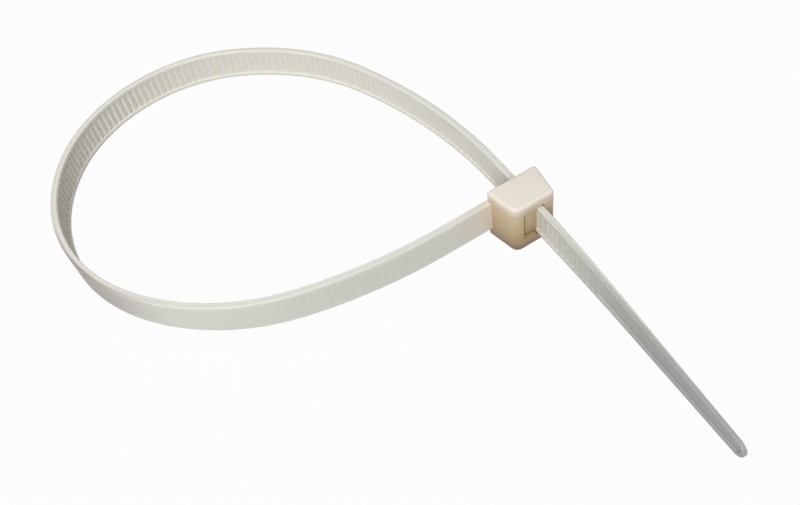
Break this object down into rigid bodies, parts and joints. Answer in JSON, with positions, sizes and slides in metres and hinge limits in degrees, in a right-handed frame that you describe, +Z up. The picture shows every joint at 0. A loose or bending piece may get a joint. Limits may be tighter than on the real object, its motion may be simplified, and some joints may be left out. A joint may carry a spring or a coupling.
{
  "type": "cable tie",
  "caption": "Nylon cable tie closed on itself in a teardrop loop, lying on its edge, with the tapered toothed tail left long through the head.",
  "frame": {"origin": "middle of the head's lower side, which the tie rests on", "axes": "+Z up across the strap's width, +Y from the head towards the loop, so the tail leaves along -Y, +X from the strap's root towards the slot"},
  "size_m": [0.0519, 0.0891, 0.0074],
  "materials": {
    "nylon": "satin, slightly translucent natural nylon"
  },
  "bodies": {
    "root": {"cable_tie": "nylon"}
  },
  "joints": []
}
